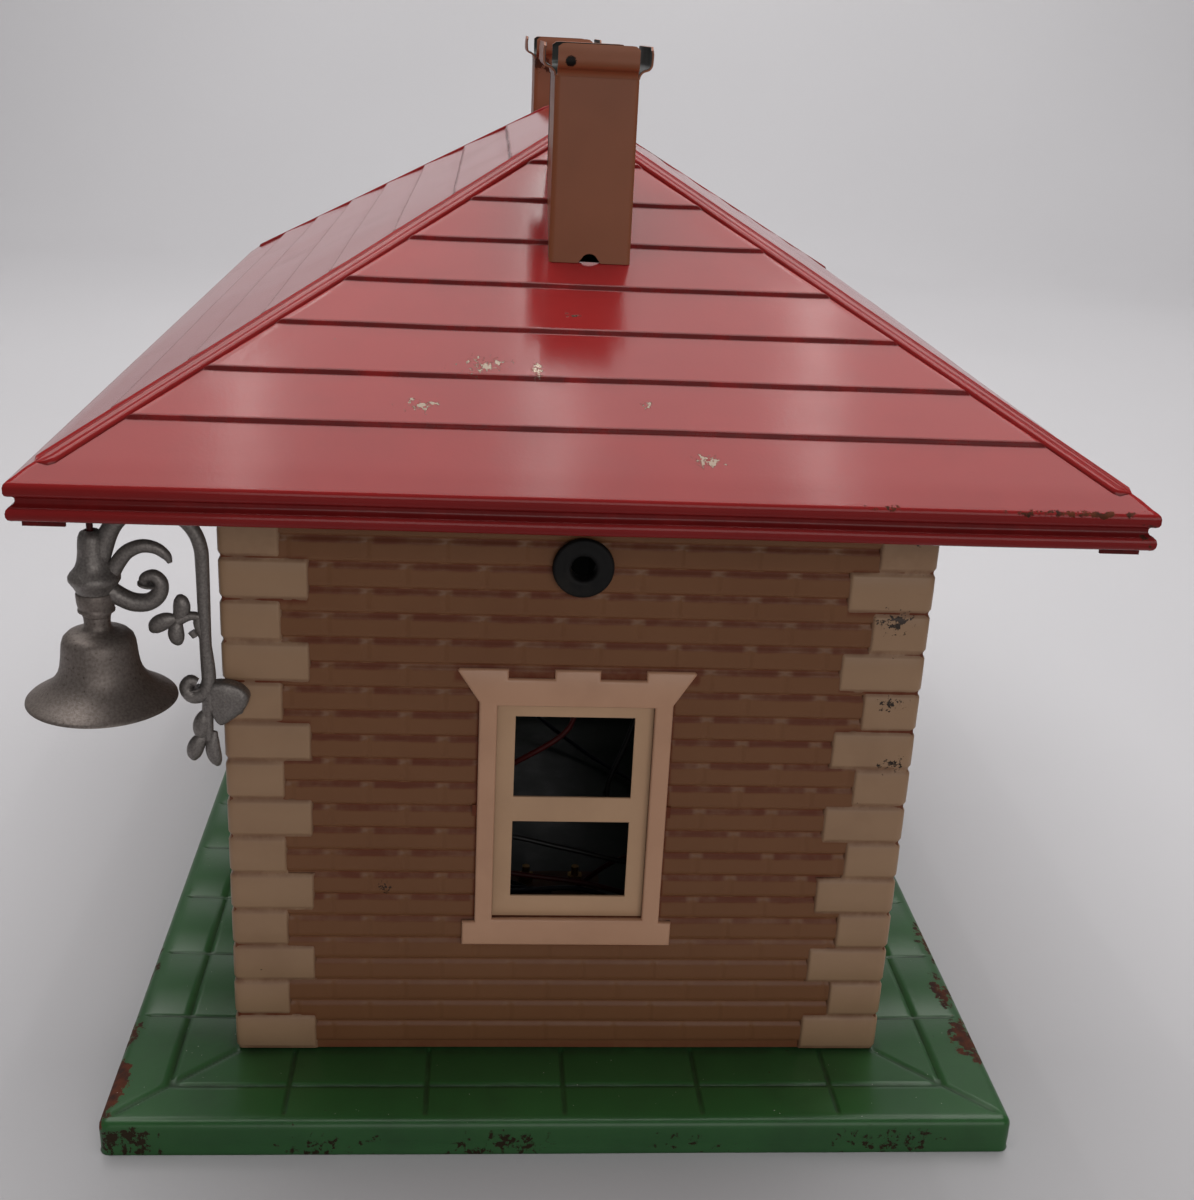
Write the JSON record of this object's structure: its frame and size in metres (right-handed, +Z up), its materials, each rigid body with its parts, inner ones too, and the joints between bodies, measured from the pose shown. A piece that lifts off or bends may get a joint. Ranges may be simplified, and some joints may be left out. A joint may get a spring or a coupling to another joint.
{
  "type": "toy railway station",
  "caption": "Pressed sheet metal toy station house with a lift-off hip roof, two chimneys, brick walls, hinged doors and bell lamps on scroll brackets.",
  "frame": {"origin": "centre of the base tray's footprint, on the plane it stands on", "axes": "+X along the ridge towards the end wall with the grommet, -Y the front with the lamp brackets, +Z up"},
  "size_m": [0.354, 0.2595, 0.27],
  "materials": {
    "enamel_red": "glossy enamel, chipped",
    "enamel_green": "glossy enamel with rust",
    "enamel_brick": "embossed enamel",
    "enamel_cream": "satin enamel",
    "enamel_tan": "satin enamel",
    "enamel_door": "satin enamel",
    "casting": "worn grey casting",
    "plated": "dull plating",
    "brass": "tarnished",
    "steel": "bare",
    "rubber": "matte",
    "insulation": "cloth-like sleeve",
    "fibre": "pressed fibre",
    "bulb": "frosted"
  },
  "bodies": {
    "building": {"base_tray": "enamel_green", "wall_end_a": "enamel_brick", "wall_end_b": "enamel_brick", "wall_front": "enamel_brick", "wall_back": "enamel_brick", "quoin_a_front": "enamel_cream", "quoin_a_back": "enamel_cream", "quoin_b_front": "enamel_cream", "quoin_b_back": "enamel_cream", "window_casing_end_a": "enamel_cream", "window_casing_end_b": "enamel_cream", "window_casing_front_1": "enamel_cream", "window_casing_front_2": "enamel_cream", "window_casing_back_1": "enamel_cream", "window_casing_back_2": "enamel_cream", "window_sash_end_a": "enamel_cream", "window_sash_end_b": "enamel_cream", "window_sash_front_1": "enamel_cream", "window_sash_front_2": "enamel_cream", "window_sash_back_1": "enamel_cream", "window_sash_back_2": "enamel_cream", "casing_clips": "enamel_cream", "door_frame_front": "enamel_cream", "door_frame_back": "enamel_cream", "terminal_nuts": "brass", "room_lamp_socket": "brass", "door_pins": "steel", "bracket_screws": "steel", "room_lamp_bracket": "steel", "grommet": "rubber", "lamp_bracket_a": "casting", "lamp_bracket_b": "casting", "lamp_socket_a": "plated", "lamp_socket_b": "plated", "lamp_shade_a": "plated", "lamp_shade_b": "plated", "lamp_bulb_a": "bulb", "lamp_bulb_b": "bulb", "room_lamp_bulb": "bulb", "lamp_wire_a": "insulation", "lamp_wire_b": "insulation", "room_wire": "insulation", "terminal_strip": "fibre"},
    "roof": {"roof_shell": "enamel_red", "hip_rib_a_front": "enamel_red", "hip_rib_a_back": "enamel_red", "hip_rib_b_front": "enamel_red", "hip_rib_b_back": "enamel_red", "eave_tabs": "enamel_red", "chimney_a": "enamel_tan", "chimney_b": "enamel_tan"},
    "door_front_left": {"door_front_left": "enamel_door", "knob_front_left": "brass"},
    "door_front_right": {"door_front_right": "enamel_door", "knob_front_right": "brass"},
    "door_back_left": {"door_back_left": "enamel_door", "knob_back_left": "brass"},
    "door_back_right": {"door_back_right": "enamel_door", "knob_back_right": "brass"}
  },
  "joints": [
    {"name": "roof_lift", "type": "slide", "parent": "building", "child": "roof", "axis": [0, 0, 1], "range_m": [0, 0.06]},
    {"name": "door_front_left_hinge", "type": "hinge", "parent": "building", "child": "door_front_left", "pos_m": [-0.02009, -0.0883, 0.06], "axis": [0, 0, -1], "range_deg": [0, 100]},
    {"name": "door_front_right_hinge", "type": "hinge", "parent": "building", "child": "door_front_right", "pos_m": [0.02009, -0.0883, 0.06], "axis": [0, 0, 1], "range_deg": [0, 100]},
    {"name": "door_back_left_hinge", "type": "hinge", "parent": "building", "child": "door_back_left", "pos_m": [0.02009, 0.0883, 0.06], "axis": [0, 0, -1], "range_deg": [0, 100]},
    {"name": "door_back_right_hinge", "type": "hinge", "parent": "building", "child": "door_back_right", "pos_m": [-0.02009, 0.0883, 0.06], "axis": [0, 0, 1], "range_deg": [0, 100]}
  ]
}
